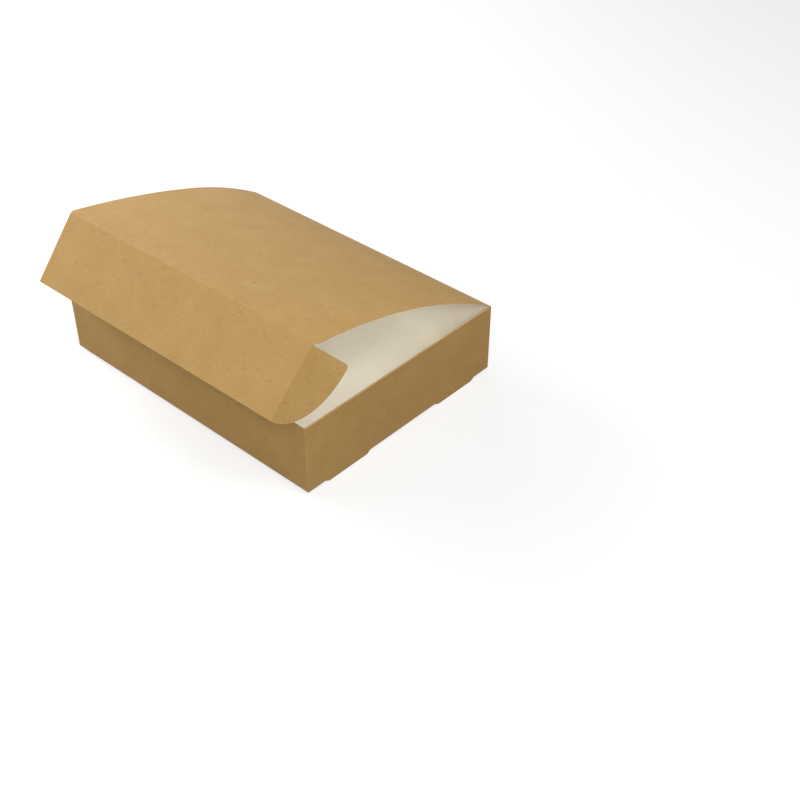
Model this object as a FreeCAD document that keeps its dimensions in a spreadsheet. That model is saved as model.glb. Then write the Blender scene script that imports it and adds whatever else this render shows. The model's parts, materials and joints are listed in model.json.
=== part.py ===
import FreeCAD, Part

import math
import os

from FreeCAD import Placement, Rotation, Vector

# Kraft board tray box with a cambered hinged lid, a tuck flap and two ears.
# Frame: +Z up, the front wall faces -Y, the lid is hinged along the top of the back wall at +Y.
# The origin is the middle of the tray's underside. Millimetres and degrees throughout.

os.makedirs("parts", exist_ok=True)
doc = FreeCAD.newDocument("TrayBox")

# Driving dimensions. Slopes are above the horizontal at each end of the lid, drops are below it.
SIZES = (
    ("tray_length", 250.0),
    ("tray_width", 190.0),
    ("tray_height", 55.0),
    ("board", 0.45),
    ("layer_gap", 0.1),
    ("fold_rounding", 0.4),
    ("bead_radius", 0.27),
    ("bead_setback", 0.1),
    ("fold_clearance", 0.1),
    ("dust_flap_length", 62.0),
    ("foot_depth", 2.0),
    ("foot_length", 45.0),
    ("foot_taper", 4.0),
    ("foot_corner_gap", 16.0),
    ("lock_tab_length", 30.0),
    ("lock_tab_drop", 1.2),
    ("tuck_play", 0.2),
    ("tuck_side_inset", 2.2),
    ("lid_bend_length", 75.0),
    ("lid_corner_length", 3.0),
    ("right_hinge_slope", 32.9),
    ("right_mid_slope", 21.3),
    ("right_crease_slope", 4.5),
    ("left_hinge_slope", 32.0),
    ("left_mid_slope", 17.7),
    ("left_crease_slope", 8.5),
    ("right_tuck_drop", 44.0),
    ("left_tuck_drop", 50.0),
    ("ear_width", 26.0),
    ("ear_top_gap", 0.8),
    ("ear_corner_radius", 2.5),
    ("ear_shoulder", 2.0),
    ("right_ear_fold", 27.0),
    ("left_ear_fold", 90.0),
)

sheet = doc.addObject("Spreadsheet::Sheet", "Sizes")
for row, (alias, amount) in enumerate(SIZES, start=1):
    sheet.set(f"A{row}", alias)
    sheet.set(f"B{row}", str(amount))
    sheet.setAlias(f"B{row}", alias)
doc.recompute()

# Places that the panels share, as expressions on the sheet
BOARD = "Sizes.board"
HEIGHT = "Sizes.tray_height"
END_OUT = "(Sizes.tray_length / 2)"
END_IN = f"({END_OUT} - {BOARD})"
FOLD_OUT = f"({END_IN} - Sizes.layer_gap)"
DUST_IN = f"({FOLD_OUT} - {BOARD})"
LINER_OUT = f"({DUST_IN} - Sizes.layer_gap)"
LINER_IN = f"({LINER_OUT} - {BOARD})"
SIDE_OUT = "(Sizes.tray_width / 2)"
SIDE_IN = f"({SIDE_OUT} - {BOARD})"
LINER_SIDE = f"({SIDE_IN} - Sizes.layer_gap)"
LAYER_BASE = f"({BOARD} + Sizes.layer_gap)"
ROLL_UNDER = f"({HEIGHT} - {BOARD})"
DUST_TOP = f"({ROLL_UNDER} - Sizes.layer_gap)"
HINGE_Y = f"({SIDE_OUT} - {BOARD} / 2)"
HINGE_Z = f"({HEIGHT} + {BOARD} / 2)"
FOOT_MIDDLE = f"({SIDE_OUT} - Sizes.foot_corner_gap - Sizes.foot_length / 2)"
FOLD_START = "(Sizes.bead_radius + Sizes.fold_clearance)"
LID_DEPTH = f"({HINGE_Y} + {SIDE_IN} - Sizes.fold_clearance - {BOARD} / 2 - Sizes.tuck_play)"
TUCK_DEPTH = f"({HINGE_Z} - {BOARD} - Sizes.tuck_play)"
TUCK_HALF = f"({END_OUT} - Sizes.tuck_side_inset)"

X, Y, Z = Vector(1, 0, 0), Vector(0, 1, 0), Vector(0, 0, 1)


def value(expression):
    """What an expression on the sheet comes to."""
    return float(sheet.evalExpression(expression))


def size(alias):
    """A driving dimension."""
    return value(f"Sizes.{alias}")


def sided(span, side):
    """A span of coordinates, or its mirror image across the origin."""
    low, high = span
    return (low, high) if side > 0 else (f"-({high})", f"-({low})")


def block(name, x_span, y_span, z_span):
    """A flat panel: a box between bound coordinates."""
    box = doc.addObject("Part::Box", name)
    for side, axis, (low, high) in (("Length", "x", x_span), ("Width", "y", y_span), ("Height", "z", z_span)):
        box.setExpression(side, f"({high}) - ({low})")
        box.setExpression(f"Placement.Base.{axis}", low)
    return box


def runs_along(edge, axis):
    """Whether a straight edge runs along an axis."""
    step = edge.Vertexes[-1].Point - edge.Vertexes[0].Point
    return abs(abs(step.dot(axis)) - step.Length) < 1e-6


def folded(panel, *folds):
    """A panel with its folds rounded. A fold is an axis and the coordinates where its edge lies."""
    doc.recompute()
    indices = []
    for number, edge in enumerate(panel.Shape.Edges, start=1):
        for axis, places in folds:
            offsets = [abs(getattr(edge.CenterOfMass, name) - place) for name, place in places.items()]
            if runs_along(edge, axis) and max(offsets) < 1e-6:
                indices.append(number)
    fillet = doc.addObject("Part::Fillet", panel.Name + "_folds")
    fillet.Base = panel
    fillet.Edges = [(number, size("fold_rounding"), size("fold_rounding")) for number in indices]
    return fillet


def side_walls():
    """The front and back walls, single board, with folded lower edges and corners."""
    walls = []
    for name, side, top in (("front_wall", -1, HEIGHT), ("back_wall", 1, HINGE_Z)):
        wall = block(name, (f"-{FOLD_OUT}", FOLD_OUT), sided((SIDE_IN, SIDE_OUT), side), ("0", top))
        face = side * value(SIDE_OUT)
        walls.append(folded(wall, (X, {"y": face, "z": 0}), (Z, {"y": face})))
    return walls


def dust_flaps():
    """The ends of the front and back walls, turned in behind the end walls."""
    reach = (f"{SIDE_IN} - Sizes.dust_flap_length", SIDE_IN)
    flaps = []
    for end, end_name in ((1, "right"), (-1, "left")):
        for side, side_name in ((-1, "front"), (1, "back")):
            flaps.append(block(f"dust_flap_{side_name}_{end_name}", sided((DUST_IN, FOLD_OUT), end),
                               sided(reach, side), (LAYER_BASE, DUST_TOP)))
    return flaps


def end_wall(end, name):
    """An end wall: the outer panel, rolled over at the top, and its liner inside the dust flaps."""
    outer = block(f"end_wall_{name}", sided((END_IN, END_OUT), end), (f"-{SIDE_OUT}", SIDE_OUT), ("0", HEIGHT))
    roll = block(f"end_roll_{name}", sided((LINER_OUT, END_IN), end), (f"-{LINER_SIDE}", LINER_SIDE),
                 (ROLL_UNDER, HEIGHT))
    liner = block(f"end_liner_{name}", sided((LINER_IN, LINER_OUT), end), (f"-{LINER_SIDE}", LINER_SIDE),
                  (LAYER_BASE, HEIGHT))
    top = value(HEIGHT)
    face = end * value(END_OUT)
    outer = folded(outer, (Y, {"x": face, "z": 0}), (Y, {"x": face, "z": top}))
    liner = folded(liner, (Y, {"x": end * value(LINER_IN), "z": top}))
    return [outer, roll, liner]


def trapezoid(name, start, depth_start, x_base, y_base, rotation):
    """A strip of board with slanted ends: X along the wall, Y away from the crease, Z through the board."""
    strip = doc.addObject("Part::Wedge", name)
    for prop, expression in (
        ("Xmin", "-Sizes.foot_length / 2"), ("Xmax", "Sizes.foot_length / 2"),
        ("X2min", "Sizes.foot_taper - Sizes.foot_length / 2"), ("X2max", "Sizes.foot_length / 2 - Sizes.foot_taper"),
        ("Ymin", depth_start), ("Ymax", "Sizes.foot_depth"),
        ("Zmin", start), ("Zmax", BOARD), ("Z2min", start), ("Z2max", BOARD),
    ):
        strip.setExpression(prop, expression)
    strip.Placement = Placement(Vector(), rotation)
    strip.setExpression("Placement.Base.x", x_base)
    strip.setExpression("Placement.Base.y", y_base)
    return strip


def feet_and_locks(end, end_name):
    """Feet left on the end wall where the floor is slotted, the slots, and the liner's tabs in them."""
    feet, slots, tabs = [], [], []
    crease = f"{end} * {END_IN}"
    for side, side_name in ((-1, "front"), (1, "back")):
        tag = f"{side_name}_{end_name}"
        middle = f"{side} * {FOOT_MIDDLE}"
        foot_turn = Rotation(Y * -end, Z * -1, X * end, "YZX")
        slot_turn = Rotation(Y * end, X * -end, Z, "YZX")
        feet.append(trapezoid(f"foot_{tag}", "0", "-Sizes.fold_rounding", crease, middle, foot_turn))
        slots.append(trapezoid(f"slot_{tag}", "0", "0", crease, middle, slot_turn))
        tab = (f"{FOOT_MIDDLE} - Sizes.lock_tab_length / 2", f"{FOOT_MIDDLE} + Sizes.lock_tab_length / 2")
        tabs.append(block(f"lock_tab_{tag}", sided((LINER_IN, LINER_OUT), end), sided(tab, side),
                          ("-Sizes.lock_tab_drop", LAYER_BASE)))
    return feet, slots, tabs


def hinge_bead():
    """The bead of the lid's crease, along the top of the back wall."""
    bead = doc.addObject("Part::Cylinder", "hinge_bead")
    reach = f"({FOLD_OUT} - Sizes.bead_setback)"
    bead.setExpression("Radius", "Sizes.bead_radius")
    bead.setExpression("Height", f"2 * {reach}")
    bead.Placement = Placement(Vector(), Rotation(Z, X))
    bead.setExpression("Placement.Base.x", f"-{reach}")
    bead.setExpression("Placement.Base.y", HINGE_Y)
    bead.setExpression("Placement.Base.z", HINGE_Z)
    return bead


def tray():
    """The folded tray: one sheet, so one solid."""
    floor = block("floor_panel", (f"-{END_IN}", END_IN), (f"-{SIDE_IN}", SIDE_IN), ("0", BOARD))
    panels = side_walls() + dust_flaps() + [hinge_bead()]
    slots = []
    for end, name in ((1, "right"), (-1, "left")):
        feet, end_slots, tabs = feet_and_locks(end, name)
        panels += end_wall(end, name) + feet + tabs
        slots += end_slots
    cuts = doc.addObject("Part::MultiFuse", "lock_slots")
    cuts.Shapes = slots
    slotted = doc.addObject("Part::Cut", "slotted_floor")
    slotted.Base = floor
    slotted.Tool = cuts
    body = doc.addObject("Part::MultiFuse", "tray")
    body.Shapes = [slotted] + panels
    body.Refine = True
    body.Label = "tray"
    return body


def plane_point(x, place):
    """A point from its X and its (Y, Z) place."""
    return Vector(x, place[0], place[1])


class Camber:
    """One end of the lid, as two tangent arcs from the hinge to the crease."""

    def __init__(self, side):
        self.length = value(LID_DEPTH)
        self.bend = size("lid_bend_length")
        self.slopes = [math.radians(size(f"{side}_{name}_slope")) for name in ("hinge", "mid", "crease")]

    def slope(self, distance):
        hinge, mid, crease = self.slopes
        if distance <= self.bend:
            return hinge + (mid - hinge) * distance / self.bend
        return mid + (crease - mid) * (distance - self.bend) / (self.length - self.bend)

    def arc_step(self, start, end):
        """How far the board runs in (Y, Z) over a stretch of one arc: a chord of that arc."""
        turn = self.slope(end) - self.slope(start)
        middle = (self.slope(end) + self.slope(start)) / 2
        chord = (end - start) * (math.sin(turn / 2) / (turn / 2) if turn else 1.0)
        return -chord * math.cos(middle), chord * math.sin(middle)

    def point(self, distance, lift=0.0):
        """The (Y, Z) place at a distance from the hinge, lifted square to the board."""
        y, z = value(HINGE_Y), value(HINGE_Z)
        stops = [0.0, distance] if distance <= self.bend else [0.0, self.bend, distance]
        for start, end in zip(stops, stops[1:]):
            step = self.arc_step(start, end)
            y, z = y + step[0], z + step[1]
        slope = self.slope(distance)
        return y + lift * math.sin(slope), z + lift * math.cos(slope)

    def outline(self, x, start):
        """The closed section of the board at this end of the lid."""
        half = size("board") / 2
        edges = []
        for lift in (half, -half):
            for low, high in ((start, self.bend), (self.bend, self.length)):
                stops = (low, (low + high) / 2, high)
                edges.append(Part.Arc(*[plane_point(x, self.point(stop, lift)) for stop in stops]).toShape())
        upper_first, upper_last, lower_first, lower_last = edges
        corners = [[plane_point(x, self.point(end, lift)) for lift in (half, -half)] for end in (start, self.length)]
        closing = [Part.makeLine(*corner) for corner in corners]
        order = [upper_first, upper_last, closing[1], lower_last, lower_first, closing[0]]
        return Part.Wire(Part.__sortEdges__(order))


CAMBERS = {"right": Camber("right"), "left": Camber("left")}
SIGNS = {"right": 1, "left": -1}


def crease_point(x):
    """A point on the crease between the lid and its tuck flap."""
    ends = {side: plane_point(SIGNS[side] * value(END_OUT), camber.point(camber.length))
            for side, camber in CAMBERS.items()}
    share = (x + value(END_OUT)) / (2 * value(END_OUT))
    return ends["left"] * (1 - share) + ends["right"] * share


def rod(start, end):
    """A crease bead: a round rod a little short of both ends."""
    run = (end - start).normalize()
    setback = run * size("bead_setback")
    length = (end - start).Length - 2 * setback.Length
    return Part.makeCylinder(size("bead_radius"), length, start + setback, run)


def corner_cut(side):
    """What is cut off the lid beside its crease, so that its corner meets the end of the tuck flap."""
    crease = crease_point(SIGNS[side] * value(TUCK_HALF))
    out = X * SIGNS[side] * 2 * size("tuck_side_inset")
    back = Y * 2 * size("lid_corner_length")
    ahead = Vector(crease.x, crease.y - size("lid_corner_length"), 0)
    corners = [ahead, Vector(crease.x, crease.y, 0), Vector(crease.x, crease.y, 0) + out + back, ahead + out]
    return Part.Face(Part.makePolygon(corners + corners[:1])).extrude(Z * 2 * crease.z)


def lid_shape():
    """The lid panel, cambered more at the right than at the left, with the crease bead at its front."""
    start = value(FOLD_START)
    wires = [CAMBERS[side].outline(SIGNS[side] * value(END_OUT), start) for side in ("left", "right")]
    panel = Part.makeLoft(wires, True, True).cut([corner_cut(side) for side in ("left", "right")])
    bead = rod(crease_point(-value(TUCK_HALF)), crease_point(value(TUCK_HALF)))
    return panel.fuse(bead)


def tuck_frame(side):
    """At one end of the tuck flap: the crease point, the direction down the flap and its outer normal."""
    drop = math.radians(size(f"{side}_tuck_drop"))
    down = Vector(0, -math.cos(drop), -math.sin(drop))
    outward = Vector(0, -math.sin(drop), math.cos(drop))
    return crease_point(SIGNS[side] * value(TUCK_HALF)), down, outward


def tuck_shape():
    """The tuck flap, twisted between its two ends, with a bead along each ear's fold."""
    start, depth, half = value(FOLD_START), value(TUCK_DEPTH), size("board") / 2
    wires, beads = [], []
    for side in ("left", "right"):
        crease, down, outward = tuck_frame(side)
        corners = [crease + down * distance + outward * lift
                   for distance, lift in ((start, half), (depth, half), (depth, -half), (start, -half))]
        wires.append(Part.makePolygon(corners + corners[:1]))
        beads.append(rod(crease + down * size("ear_top_gap"), crease + down * depth))
    return Part.makeLoft(wires, True, True).fuse(beads)


def ear_shape():
    """An ear lying flat: its fold along Y, its width along X, the board's middle at Z = 0."""
    fold, width, depth = value(FOLD_START), size("ear_width"), value(TUCK_DEPTH)
    top, radius = size("ear_top_gap"), size("ear_corner_radius")
    shoulder = top + radius + size("ear_shoulder")
    turn = radius * (1 - math.sqrt(0.5))
    under = -size("board") / 2
    corner = Part.Arc(Vector(width - radius, top, under), Vector(width - turn, top + turn, under),
                      Vector(width, top + radius, under))
    curve = Part.Ellipse(Vector(fold, depth, under), Vector(width, shoulder, under), Vector(fold, shoulder, under))
    edges = [
        Part.makeLine(Vector(fold, top, under), Vector(width - radius, top, under)),
        corner.toShape(),
        Part.makeLine(Vector(width, top + radius, under), Vector(width, shoulder, under)),
        curve.toShape(0, math.pi / 2),
        Part.makeLine(Vector(fold, depth, under), Vector(fold, top, under)),
    ]
    face = Part.Face(Part.Wire(Part.__sortEdges__(edges)))
    return face.extrude(Z * size("board"))


def ear_placement(side):
    """Where an ear lies: turned about its fold, from the plane of the tuck flap towards its inside."""
    crease, down, outward = tuck_frame(side)
    fold = math.radians(size(f"{side}_ear_fold"))
    across = X * (SIGNS[side] * math.cos(fold)) - outward * math.sin(fold)
    return Placement(crease, Rotation(across, down, across.cross(down), "XYZ"))


def sheet_piece(name, shape, placement=None):
    """A piece of formed board, from its shape and its place."""
    piece = doc.addObject("Part::Feature", name)
    piece.Shape = shape
    piece.Label = name
    if placement:
        piece.Placement = placement
    return piece


pieces = [
    tray(),
    sheet_piece("lid", lid_shape()),
    sheet_piece("tuck_flap", tuck_shape()),
    sheet_piece("right_ear", ear_shape(), ear_placement("right")),
    sheet_piece("left_ear", ear_shape(), ear_placement("left")),
]
doc.recompute()

for item in doc.Objects:
    if "Invalid" in item.State or "Error" in item.State:
        raise RuntimeError(f"{item.Label} failed: {item.State}")
for piece in pieces:
    if piece.Shape.isNull() or not piece.Shape.isValid() or len(piece.Shape.Solids) != 1:
        raise RuntimeError(f"{piece.Label} is not one valid solid")

for piece in pieces:
    piece.Shape.exportStep(f"parts/{piece.Label}.step")
    box = piece.Shape.BoundBox
    print(f"{piece.Label}: {piece.Shape.Volume:.1f} mm3, X {box.XMin:.2f} to {box.XMax:.2f}, "
          f"Y {box.YMin:.2f} to {box.YMax:.2f}, Z {box.ZMin:.2f} to {box.ZMax:.2f}")
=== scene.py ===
"""The cardboard tray box as it looks: board finishes, a pale floor, light and the photograph's camera."""

import json
import math

import bpy
from mathutils import Matrix, Vector

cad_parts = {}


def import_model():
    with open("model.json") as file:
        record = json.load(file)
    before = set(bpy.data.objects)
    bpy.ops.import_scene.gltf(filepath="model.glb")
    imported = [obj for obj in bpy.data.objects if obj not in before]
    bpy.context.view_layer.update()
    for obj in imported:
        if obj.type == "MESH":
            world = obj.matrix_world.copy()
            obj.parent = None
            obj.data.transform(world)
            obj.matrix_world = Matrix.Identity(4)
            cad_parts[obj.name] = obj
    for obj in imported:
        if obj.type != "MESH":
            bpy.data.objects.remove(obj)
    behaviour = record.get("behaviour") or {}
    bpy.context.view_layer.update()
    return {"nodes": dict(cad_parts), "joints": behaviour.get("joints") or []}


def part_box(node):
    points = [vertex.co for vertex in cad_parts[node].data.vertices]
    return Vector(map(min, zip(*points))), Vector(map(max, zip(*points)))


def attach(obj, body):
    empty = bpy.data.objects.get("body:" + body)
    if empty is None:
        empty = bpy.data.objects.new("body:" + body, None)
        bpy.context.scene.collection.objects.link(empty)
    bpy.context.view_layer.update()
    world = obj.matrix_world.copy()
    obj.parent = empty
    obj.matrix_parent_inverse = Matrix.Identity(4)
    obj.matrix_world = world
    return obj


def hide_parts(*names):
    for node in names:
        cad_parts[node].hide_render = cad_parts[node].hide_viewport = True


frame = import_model()

# Sizes of the sheet, in metres, as in the part's source
MM = 0.001
BOARD = 0.45 * MM
HALF_BOARD = BOARD / 2
LAYER_GAP = 0.1 * MM
BEAD_RADIUS = 0.27 * MM
FOLD_RADIUS = HALF_BOARD * 1.01
BEAD_SETBACK = 0.1 * MM
HINGE_START = 0.25 * MM
FOLD_START = 0.1 * MM
LID_DEPTH = 188.8 * MM
LID_BEND = 75 * MM
LID_CORNER_LENGTH = 3 * MM
TUCK_DEPTH = 54.575 * MM
TUCK_SIDE_INSET = 2.2 * MM
EAR_WIDTH = 26 * MM
EAR_TOP_GAP = 0.8 * MM
EAR_CORNER_RADIUS = 2.5 * MM
EAR_SHOULDER = 2 * MM

# Slopes above the horizontal at the hinge, the bend and the crease; drops of the tuck flap below it
ENDS = ("left", "right")
SIGNS = {"left": -1, "right": 1}
LID_SLOPES = {"left": (32.0, 17.7, 8.5), "right": (32.9, 21.3, 4.5)}
TUCK_DROPS = {"left": 50.0, "right": 44.0}
EAR_FOLDS = {"left": 90.0, "right": 27.0}

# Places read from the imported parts
X, Y, Z = Vector((1, 0, 0)), Vector((0, 1, 0)), Vector((0, 0, 1))
TRAY_LOW, TRAY_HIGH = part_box("tray")
END_OUT = TRAY_HIGH.x
FRONT_OUT = -TRAY_LOW.y
JOINTS = {joint["name"]: joint for joint in frame["joints"]}
HINGE = Vector(JOINTS["lid_hinge"]["pos_m"])
RIM = HINGE.z - HALF_BOARD
FLOOR_TOP = TRAY_LOW.z

# Where the layers of an end wall lie, from its outer face inwards
END_IN = END_OUT - BOARD
FOLD_OUT = END_IN - LAYER_GAP
DUST_IN = FOLD_OUT - BOARD
LINER_OUT = DUST_IN - LAYER_GAP
LINER_IN = LINER_OUT - BOARD
SIDE_IN = FRONT_OUT - BOARD

# Colours, as sRGB values out of 255
KRAFT_LIGHT = (172, 138, 84)
KRAFT_DARK = (166, 131, 78)
KRAFT_FIBRE = (140, 105, 57)
KRAFT_PALE_FIBRE = (208, 176, 120)
KRAFT_SPECK = (104, 74, 41)
WHITE_LIGHT = (246, 241, 227)
WHITE_DARK = (241, 235, 220)
EDGE_LIGHT = (212, 189, 148)
EDGE_DARK = (176, 148, 104)
FLOOR_COLOUR = (168, 168, 167)
FLOOR_LIFT = 0.60

# Fibres of the kraft face, as scale, turn, colour and strength
KRAFT_FIBRES = (
    ((170, 1500, 1500), (0.0, 0.0, 0.35), KRAFT_FIBRE, 0.15),
    ((1300, 190, 1300), (0.3, 0.0, -0.4), KRAFT_FIBRE, 0.13),
    ((240, 2000, 2000), (0.5, 0.6, 0.9), KRAFT_PALE_FIBRE, 0.16),
    ((1700, 1700, 240), (0.4, -0.5, 0.2), KRAFT_PALE_FIBRE, 0.14),
)

# Flecks and specks of it, as scale, turn, share of cells, reach within a cell, colour and strength
KRAFT_FLECKS = (
    ((105, 300, 300), (0.2, 0.1, 0.5), 0.24, 0.42, KRAFT_FIBRE, 0.30),
    ((330, 120, 330), (0.1, 0.3, 0.2), 0.24, 0.40, KRAFT_FIBRE, 0.27),
    ((350, 350, 140), (0.3, 0.2, 0.1), 0.24, 0.40, KRAFT_FIBRE, 0.27),
    ((130, 400, 400), (0.7, 0.4, -0.6), 0.22, 0.40, KRAFT_PALE_FIBRE, 0.12),
    ((400, 150, 400), (0.2, 0.6, 0.9), 0.22, 0.40, KRAFT_PALE_FIBRE, 0.11),
    ((300, 460, 380), (0.4, 0.9, 0.3), 0.05, 0.22, KRAFT_SPECK, 0.70),
)

# The photograph's camera
CAMERA_PLACE = Vector((0.5895, -0.5238, 0.5753))
HEADING = 41.785
PITCH = 38.228
ROLL = 0.3936
FOCAL_PIXELS = 1273.76
IMAGE_PIXELS = 800
SENSOR_WIDTH = 36.0

# Light
AMBIENT = 0.05
LAMP_COLOUR = (1.0, 1.0, 1.0)

# Lamps, as name, place, size and power; all of them look at the middle of the box
LAMPS = (
    ("left", (-0.85, -0.12, 0.42), 0.5, 11.0),
    ("back_left", (-1.2, 0.9, 0.5), 0.8, 9.0),
    ("front_left", (-1.3, -0.9, 0.55), 0.8, 9.0),
    ("viewer", (0.8, -0.71, 0.8), 0.4, 8.8),
    ("right", (0.75, 0.1, 1.0), 0.5, 6.6),
)
LAMP_TARGET = Vector((0, 0, 0.05))

# Steps of the drawn meshes: rows away from a fold, columns along it, and sides of a round
LID_ROWS = 20
LID_OUTER_ROWS = 28
LID_CORNER_ROWS = 2
TUCK_ROWS = 14
COLUMNS = 40
BEAD_SIDES = 24
CORNER_STEPS = 8
EAR_CURVE_STEPS = 40

# Angles about a crease, in degrees from straight out of the board, between which it shows kraft
LID_CREASE_KRAFT = (-100, 135)
EAR_CREASE_KRAFT = {"left": (-100, 170), "right": (-170, 100)}

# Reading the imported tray: how close a face lies to a layer, how straight on it looks along an axis,
# how far out the hinge's bead reaches and where its inner side starts, and where feet leave the floor
NEAR = 0.03 * MM
STRAIGHT_ON = 0.97
BEAD_LOW = RIM + 0.01 * MM
BEAD_REACH = BEAD_RADIUS * 1.05
BEAD_INNER_SIDE = -0.2
FEET_HIGH = -0.05 * MM
UPRIGHT = 0.1

FLOOR_REACH = 6.0

# Places of the board's finishes in a mesh's materials
KRAFT, WHITE, EDGE = range(3)


def linear(colour):
    """A shader colour from sRGB values out of 255."""
    parts = [channel / 255 for channel in colour]
    return tuple(c / 12.92 if c <= 0.04045 else ((c + 0.055) / 1.055) ** 2.4 for c in parts) + (1.0,)


class Shader:
    """The node tree of a material or a world, built node by node."""

    def __init__(self, owner):
        self.owner = owner
        owner.use_nodes = True
        self.tree = owner.node_tree
        self.tree.nodes.clear()

    def node(self, kind, settings=None, **inputs):
        """A node with its settings, and its inputs given as values or as other nodes' outputs."""
        made = self.tree.nodes.new(kind)
        for name, setting in (settings or {}).items():
            setattr(made, name, setting)
        for name, given in inputs.items():
            socket = made.inputs[int(name[1:])] if name[0] == "_" else made.inputs[name.replace("_", " ")]
            if isinstance(given, bpy.types.NodeSocket):
                self.tree.links.new(given, socket)
            else:
                socket.default_value = given
        return made

    def noise(self, place, scale, detail, roughness=0.55):
        made = self.node("ShaderNodeTexNoise", Vector=place, Scale=scale, Detail=detail, Roughness=roughness)
        return made.outputs["Fac"]

    def stretched(self, place, scale, turn):
        """Coordinates drawn out along one direction, for fibres."""
        made = self.node("ShaderNodeMapping", Vector=place, Rotation=turn, Scale=scale)
        return made.outputs["Vector"]

    def ranged(self, given, low, high, to_low=0.0, to_high=1.0):
        made = self.node("ShaderNodeMapRange", _0=given, _1=low, _2=high, _3=to_low, _4=to_high)
        return made.outputs["Result"]

    def mixed(self, share, first, second):
        made = self.node("ShaderNodeMix", {"data_type": "RGBA"}, _0=share, _6=first, _7=second)
        return made.outputs[2]

    def times(self, first, second):
        return self.node("ShaderNodeMath", {"operation": "MULTIPLY"}, _0=first, _1=second).outputs[0]

    def surface(self, **inputs):
        shader = self.node("ShaderNodeBsdfPrincipled", **inputs)
        self.node("ShaderNodeOutputMaterial", Surface=shader.outputs[0])
        return self.owner


def new_material(name):
    """The shader of a new material, and the coordinates of the object that wears it."""
    shader = Shader(bpy.data.materials.new(name))
    return shader, shader.node("ShaderNodeTexCoord").outputs["Object"]


def flecks(shader, place, scale, turn, rare, reach):
    """A mask of small drawn-out spots, in a few cells of a stretched cell pattern."""
    drawn = shader.stretched(place, scale, turn)
    cells = shader.node("ShaderNodeTexVoronoi", Vector=drawn, Scale=1.0)
    parts = shader.node("ShaderNodeSeparateColor", Color=cells.outputs["Color"])
    chosen = shader.ranged(parts.outputs[0], rare, rare * 0.5)
    close = shader.ranged(cells.outputs["Distance"], reach, reach * 0.35)
    return shader.times(chosen, close)


def kraft_material():
    """Unbleached board: faint clouds, short crossed fibres, flecks and specks of pulp, and a soft tooth."""
    shader, place = new_material("kraft_outside")
    clouds = shader.ranged(shader.noise(place, 45, 4), 0.3, 0.7)
    colour = shader.mixed(clouds, linear(KRAFT_DARK), linear(KRAFT_LIGHT))
    for scale, turn, fibre, strength in KRAFT_FIBRES:
        drawn = shader.stretched(place, scale, turn)
        fibres = shader.ranged(shader.noise(drawn, 1.0, 2), 0.56, 0.74, 0.0, strength)
        colour = shader.mixed(fibres, colour, linear(fibre))
    grain = shader.ranged(shader.noise(place, 1500, 3, 0.6), 0.35, 0.65, 0.0, 0.10)
    colour = shader.mixed(grain, colour, linear(KRAFT_FIBRE))
    for scale, turn, rare, reach, tone, strength in KRAFT_FLECKS:
        spots = shader.times(flecks(shader, place, scale, turn, rare, reach), strength)
        colour = shader.mixed(spots, colour, linear(tone))
    tooth = shader.noise(place, 1700, 4, 0.65)
    bump = shader.node("ShaderNodeBump", Height=tooth, Strength=0.35, Distance=0.00004)
    rough = shader.ranged(shader.noise(place, 400, 2), 0.3, 0.7, 0.72, 0.86)
    return shader.surface(Base_Color=colour, Roughness=rough, Specular_IOR_Level=0.18,
                          Normal=bump.outputs["Normal"])


def white_material():
    """The coated inner side: a warm white with a faint cloud and a satin face."""
    shader, place = new_material("white_inside")
    clouds = shader.ranged(shader.noise(place, 60, 4), 0.3, 0.7)
    colour = shader.mixed(clouds, linear(WHITE_DARK), linear(WHITE_LIGHT))
    drawn = shader.stretched(place, (420, 1900, 1900), (0.2, 0.3, 0.5))
    fibres = shader.ranged(shader.noise(drawn, 1.0, 2), 0.58, 0.76, 0.0, 0.16)
    colour = shader.mixed(fibres, colour, linear(EDGE_LIGHT))
    tooth = shader.noise(place, 1300, 3, 0.6)
    bump = shader.node("ShaderNodeBump", Height=tooth, Strength=0.2, Distance=0.00003)
    rough = shader.ranged(shader.noise(place, 300, 2), 0.3, 0.7, 0.5, 0.62)
    return shader.surface(Base_Color=colour, Roughness=rough, Specular_IOR_Level=0.35,
                          Normal=bump.outputs["Normal"])


def edge_material():
    """The cut edge of the board: pale, ragged pulp between the two faces."""
    shader, place = new_material("board_edge")
    pulp = shader.ranged(shader.noise(place, 2600, 3, 0.7), 0.35, 0.65)
    colour = shader.mixed(pulp, linear(EDGE_DARK), linear(EDGE_LIGHT))
    patches = shader.ranged(shader.noise(place, 260, 2), 0.45, 0.7, 0.0, 0.5)
    colour = shader.mixed(patches, colour, linear(KRAFT_LIGHT))
    bump = shader.node("ShaderNodeBump", Height=pulp, Strength=0.5, Distance=0.00005)
    return shader.surface(Base_Color=colour, Roughness=0.9, Specular_IOR_Level=0.15,
                          Normal=bump.outputs["Normal"])


FINISHES = (kraft_material(), white_material(), edge_material())


def finished(mesh, finishes):
    """The mesh with a board finish on each face, given as a place in FINISHES."""
    mesh.materials.clear()
    for finish in FINISHES:
        mesh.materials.append(finish)
    mesh.polygons.foreach_set("material_index", finishes)
    mesh.update()
    return mesh


def board_piece(mesh, body):
    """A piece of the sheet, standing for the CAD node of the same name as its body and moving with it."""
    piece = bpy.data.objects.new(f"{body}_board", mesh)
    bpy.context.scene.collection.objects.link(piece)
    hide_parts(body)
    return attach(piece, body)


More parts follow.
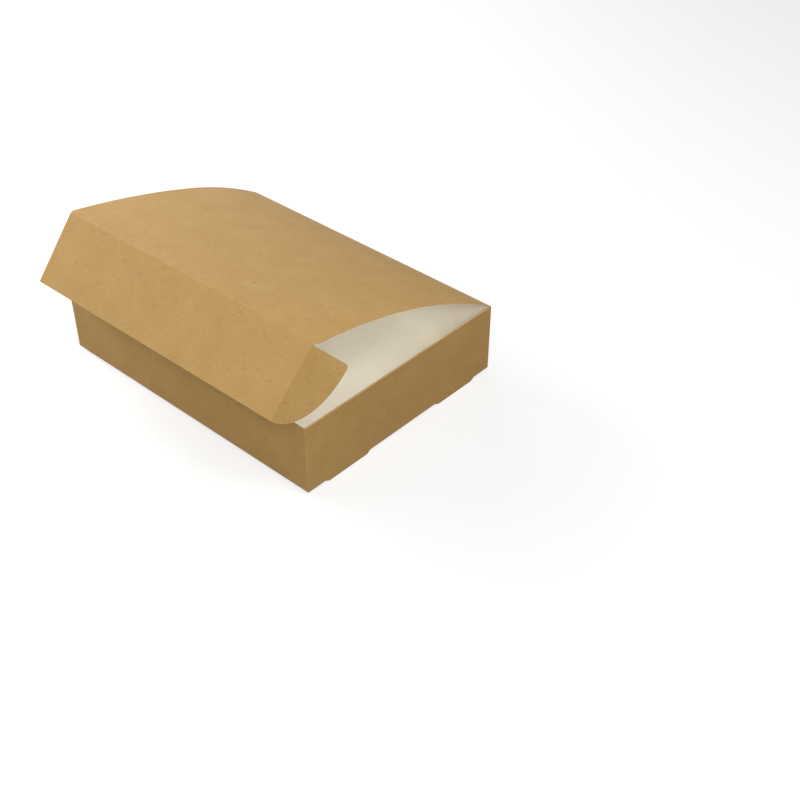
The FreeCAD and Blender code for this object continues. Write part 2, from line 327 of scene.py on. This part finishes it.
class Patchwork:
    """Points and faces of a mesh, each face with its finish."""

    def __init__(self):
        self.points, self.faces, self.finishes, self.smooth = [], [], [], []

    def strip(self, rows, finish, smooth=True):
        """Faces between rows of points, all of one length."""
        first, across = len(self.points), len(rows[0])
        for row in rows:
            self.points.extend(row)
        for i in range(len(rows) - 1):
            for j in range(across - 1):
                corner = first + i * across + j
                self.faces.append((corner, corner + 1, corner + across + 1, corner + across))
                self.finishes.append(finish(i, j) if callable(finish) else finish)
                self.smooth.append(smooth)

    def fan(self, outline, finish):
        first = len(self.points)
        self.points.extend(outline)
        self.faces.append(tuple(range(first, first + len(outline))))
        self.finishes.append(finish)
        self.smooth.append(False)

    def mesh(self, name):
        made = bpy.data.meshes.new(name)
        made.from_pydata([tuple(point) for point in self.points], [], self.faces)
        made.polygons.foreach_set("use_smooth", self.smooth)
        return finished(made, self.finishes)


def lerp(first, second, share):
    return first * (1 - share) + second * share


def sheet_panel(work, place, rows, columns):
    """A panel of board, with cut edges. place(row, column, lift) is a point of it."""
    outer = [[place(i, j, HALF_BOARD) for j in columns] for i in rows]
    inner = [[place(i, j, -HALF_BOARD) for j in columns] for i in rows]
    work.strip(outer, KRAFT)
    work.strip([row[::-1] for row in inner], WHITE)
    for top, bottom in ((outer[0], inner[0]), (outer[-1][::-1], inner[-1][::-1])):
        work.strip([bottom, top], EDGE, smooth=False)
    for column, flip in ((0, 1), (-1, -1)):
        top, bottom = [row[column] for row in outer][::flip], [row[column] for row in inner][::flip]
        work.strip([top, bottom], EDGE, smooth=False)


def bead(work, start, end, outward, kraft_from, kraft_to):
    """The rounded crease between two panels, as a fine rod: kraft between two angles, else white."""
    run = (end - start).normalized()
    side = outward - run * outward.dot(run)
    side.normalize()
    up = run.cross(side)
    start, end = start + run * BEAD_SETBACK, end - run * BEAD_SETBACK
    angles = [2 * math.pi * step / BEAD_SIDES for step in range(BEAD_SIDES + 1)]
    ring = [(side * math.cos(angle) + up * math.sin(angle)) * FOLD_RADIUS for angle in angles]

    def finish(i, j):
        middle = math.degrees(angles[j] + math.pi / BEAD_SIDES)
        middle = middle - 360 if middle > 180 else middle
        return KRAFT if kraft_from <= middle <= kraft_to else WHITE

    work.strip([[start + point for point in ring], [end + point for point in ring]], finish)
    work.fan([start + point for point in ring[:-1]][::-1], EDGE)
    work.fan([end + point for point in ring[:-1]], EDGE)


def lid_slope(side, distance):
    """The lid's slope in radians at a distance from the hinge, at one of its ends."""
    hinge, middle, crease = [math.radians(angle) for angle in LID_SLOPES[side]]
    if distance <= LID_BEND:
        return hinge + (middle - hinge) * distance / LID_BEND
    return middle + (crease - middle) * (distance - LID_BEND) / (LID_DEPTH - LID_BEND)


def lid_end(side, distance, lift=0.0):
    """A point of the lid's end section: two tangent arcs, lifted square to the board."""
    place = Vector((SIGNS[side] * END_OUT, HINGE.y, HINGE.z))
    stops = [0.0, distance] if distance <= LID_BEND else [0.0, LID_BEND, distance]
    for start, end in zip(stops, stops[1:]):
        turn = lid_slope(side, end) - lid_slope(side, start)
        middle = (lid_slope(side, end) + lid_slope(side, start)) / 2
        chord = (end - start) * (math.sin(turn / 2) / (turn / 2) if turn else 1.0)
        place = place + chord * (Z * math.sin(middle) - Y * math.cos(middle))
    slope = lid_slope(side, distance)
    return place + lift * (Y * math.sin(slope) + Z * math.cos(slope))


def lid_point(distance, share, lift=0.0):
    return lerp(lid_end("left", distance, lift), lid_end("right", distance, lift), share)


def trimmed_lid_point(distance, share, lift=0.0):
    """A point of the lid, drawn in beside the crease where its corners are cut."""
    cut = max(0.0, 1 - (LID_DEPTH - distance) / LID_CORNER_LENGTH) * TUCK_SIDE_INSET / (2 * END_OUT)
    return lid_point(distance, cut + share * (1 - 2 * cut), lift)


def crease_point(x):
    """A point of the crease between the lid and the tuck flap."""
    return lid_point(LID_DEPTH, (x + END_OUT) / (2 * END_OUT))


def tuck_frame(side):
    """At one end of the tuck flap: its crease point, the way down it and its outer normal."""
    drop = math.radians(TUCK_DROPS[side])
    down = -Y * math.cos(drop) - Z * math.sin(drop)
    outward = -Y * math.sin(drop) + Z * math.cos(drop)
    return crease_point(SIGNS[side] * (END_OUT - TUCK_SIDE_INSET)), down, outward


def tuck_point(distance, share, lift=0.0):
    ends = []
    for side in ENDS:
        crease, down, outward = tuck_frame(side)
        ends.append(crease + down * distance + outward * lift)
    return lerp(ends[0], ends[1], share)


def spread(low, high, count):
    return [low + (high - low) * step / count for step in range(count + 1)]


def lid_mesh():
    work = Patchwork()
    corner = LID_DEPTH - LID_CORNER_LENGTH
    rows = spread(HINGE_START, LID_BEND, LID_ROWS)
    rows += spread(LID_BEND, corner, LID_OUTER_ROWS)[1:]
    rows += spread(corner, LID_DEPTH, LID_CORNER_ROWS)[1:]
    sheet_panel(work, trimmed_lid_point, rows, spread(0, 1, COLUMNS))
    outward = lid_point(LID_DEPTH, 0.5, HALF_BOARD) - lid_point(LID_DEPTH, 0.5)
    reach = END_OUT - TUCK_SIDE_INSET
    bead(work, crease_point(-reach), crease_point(reach), outward, *LID_CREASE_KRAFT)
    return work.mesh("lid")


def tuck_mesh():
    work = Patchwork()
    sheet_panel(work, tuck_point, spread(FOLD_START, TUCK_DEPTH, TUCK_ROWS), spread(0, 1, COLUMNS))
    for side in ENDS:
        crease, down, outward = tuck_frame(side)
        start, end = crease + down * EAR_TOP_GAP, crease + down * TUCK_DEPTH
        bead(work, start, end, outward, *EAR_CREASE_KRAFT[side])
    return work.mesh("tuck_flap")


def ear_outline():
    """An ear lying flat: its fold along Y from the crease downwards, its width along X."""
    shoulder = EAR_TOP_GAP + EAR_CORNER_RADIUS + EAR_SHOULDER
    middle = Vector((EAR_WIDTH - EAR_CORNER_RADIUS, EAR_TOP_GAP + EAR_CORNER_RADIUS, 0))
    points = [Vector((FOLD_START, EAR_TOP_GAP, 0))]
    for angle in spread(-math.pi / 2, 0, CORNER_STEPS):
        points.append(middle + EAR_CORNER_RADIUS * Vector((math.cos(angle), math.sin(angle), 0)))
    for angle in spread(0, math.pi / 2, EAR_CURVE_STEPS):
        points.append(Vector((FOLD_START + (EAR_WIDTH - FOLD_START) * math.cos(angle),
                              shoulder + (TUCK_DEPTH - shoulder) * math.sin(angle), 0)))
    return points


def ear_mesh(side):
    """An ear, turned about its fold from the plane of the tuck flap towards its inside."""
    crease, down, outward = tuck_frame(side)
    fold = math.radians(EAR_FOLDS[side])
    across = SIGNS[side] * X * math.cos(fold) - outward * math.sin(fold)
    outer = across.cross(down).normalized()
    if outer.dot(outward * math.cos(fold) + SIGNS[side] * X * math.sin(fold)) < 0:
        outer = -outer
    flat = [crease + across * point.x + down * point.y for point in ear_outline()]
    top = [point + outer * HALF_BOARD for point in flat]
    bottom = [point - outer * HALF_BOARD for point in flat]
    if SIGNS[side] > 0:
        top, bottom = top[::-1], bottom[::-1]
    work = Patchwork()
    work.fan(top, KRAFT)
    work.fan(bottom[::-1], WHITE)
    work.strip([top + top[:1], bottom + bottom[:1]], EDGE, smooth=False)
    return work.mesh(f"{side}_ear")


def near(value, place):
    return abs(value - place) < NEAR


def end_layer(face):
    """The finish of a face that looks along X, from the layer of the end wall that it belongs to."""
    depth, outwards = abs(face.center.x), face.center.x * face.normal.x > 0
    if outwards:
        return KRAFT if near(depth, END_OUT) or near(depth, FOLD_OUT) else WHITE
    return KRAFT if near(depth, LINER_IN) else WHITE


def side_layer(face):
    """The finish of a face that looks along Y."""
    depth, outwards = abs(face.center.y), face.center.y * face.normal.y > 0
    if near(depth, FRONT_OUT) and outwards and abs(face.center.x) < FOLD_OUT:
        return KRAFT
    if near(depth, SIDE_IN) and not outwards and abs(face.center.x) < FOLD_OUT:
        return WHITE
    return EDGE


def level_layer(face):
    """The finish of a face that looks up or down."""
    if near(face.center.z, 0) and face.normal.z < 0:
        return KRAFT
    if near(face.center.z, BOARD) and face.normal.z > 0:
        return WHITE
    return EDGE


def tray_finish(face):
    """The side of the folded sheet that a face of the tray shows."""
    centre, normal = face.center, face.normal
    from_hinge = math.hypot(centre.y - HINGE.y, centre.z - HINGE.z)
    if centre.z > BEAD_LOW and from_hinge < BEAD_REACH and abs(normal.x) < 0.5:
        return KRAFT if normal.y > BEAD_INNER_SIDE else WHITE
    if abs(normal.x) > STRAIGHT_ON:
        return end_layer(face)
    if abs(normal.y) > STRAIGHT_ON:
        return side_layer(face)
    if abs(normal.z) > STRAIGHT_ON:
        return level_layer(face)
    on_foot = centre.z < FEET_HIGH
    in_slot = 0 < centre.z < BOARD and abs(normal.z) < UPRIGHT
    return EDGE if on_foot or in_slot else KRAFT


def tray_mesh():
    """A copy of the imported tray, each face with the finish of its side of the sheet."""
    mesh = frame["nodes"]["tray"].data.copy()
    return finished(mesh, [tray_finish(face) for face in mesh.polygons])


board_piece(tray_mesh(), "tray")
board_piece(lid_mesh(), "lid")
board_piece(tuck_mesh(), "tuck_flap")
for end in ENDS:
    board_piece(ear_mesh(end), f"{end}_ear")


def seen(shader):
    """1 for what the camera sees, directly or in a reflection or through glass, and 0 for light."""
    path = shader.node("ShaderNodeLightPath")
    first = shader.node("ShaderNodeMath", {"operation": "MAXIMUM"},
                        _0=path.outputs["Is Camera Ray"], _1=path.outputs["Is Glossy Ray"])
    both = shader.node("ShaderNodeMath", {"operation": "MAXIMUM"},
                       _0=first.outputs[0], _1=path.outputs["Is Transmission Ray"])
    return both.outputs[0]


def floor():
    """A plain pale floor under the feet."""
    corners = [(x * FLOOR_REACH, y * FLOOR_REACH, FLOOR_TOP)
               for x, y in ((-1, -1), (1, -1), (1, 1), (-1, 1))]
    mesh = bpy.data.meshes.new("floor")
    mesh.from_pydata(corners, [], [(0, 1, 2, 3)])
    shader = Shader(bpy.data.materials.new("pale_floor"))
    matt = shader.node("ShaderNodeBsdfDiffuse", Color=linear(FLOOR_COLOUR))
    glow = shader.node("ShaderNodeEmission", Strength=shader.times(seen(shader), FLOOR_LIFT))
    both = shader.node("ShaderNodeAddShader", _0=matt.outputs[0], _1=glow.outputs[0])
    shader.node("ShaderNodeOutputMaterial", Surface=both.outputs[0])
    mesh.materials.append(shader.owner)
    plane = bpy.data.objects.new("floor", mesh)
    bpy.context.scene.collection.objects.link(plane)


def world():
    """Even light from all round, and white where the camera sees past the floor."""
    made = bpy.data.worlds.new("studio")
    bpy.context.scene.world = made
    shader = Shader(made)
    share = seen(shader)
    light = shader.node("ShaderNodeBackground", Color=(*LAMP_COLOUR, 1.0), Strength=AMBIENT)
    white = shader.node("ShaderNodeBackground", Color=(1.0, 1.0, 1.0, 1.0), Strength=1.0)
    mixed = shader.node("ShaderNodeMixShader", _0=share, _1=light.outputs[0], _2=white.outputs[0])
    shader.node("ShaderNodeOutputWorld", Surface=mixed.outputs[0])


def softbox(name, place, size, power):
    """A square lamp turned towards the box."""
    lamp = bpy.data.lights.new(name, "AREA")
    lamp.shape = "SQUARE"
    lamp.size = size
    lamp.energy = power
    lamp.color = LAMP_COLOUR
    made = bpy.data.objects.new(name, lamp)
    made.location = place
    made.rotation_mode = "QUATERNION"
    made.rotation_quaternion = (LAMP_TARGET - Vector(place)).to_track_quat("-Z", "Y")
    bpy.context.scene.collection.objects.link(made)


floor()
world()
for lamp_name, lamp_place, lamp_size, lamp_power in LAMPS:
    softbox(lamp_name, lamp_place, lamp_size, lamp_power)


def camera():
    """The photograph's view."""
    data = bpy.data.cameras.new("photo")
    data.sensor_width = SENSOR_WIDTH
    data.lens = SENSOR_WIDTH * FOCAL_PIXELS / IMAGE_PIXELS
    data.clip_start, data.clip_end = 0.01, 50
    made = bpy.data.objects.new("photo", data)
    turns = [Matrix.Rotation(math.radians(angle), 4, axis)
             for angle, axis in ((HEADING, "Z"), (90 - PITCH, "X"), (ROLL, "Z"))]
    made.matrix_world = Matrix.Translation(CAMERA_PLACE) @ turns[0] @ turns[1] @ turns[2]
    bpy.context.scene.collection.objects.link(made)
    bpy.context.scene.camera = made


camera()
bpy.context.scene.view_settings.view_transform = "Standard"
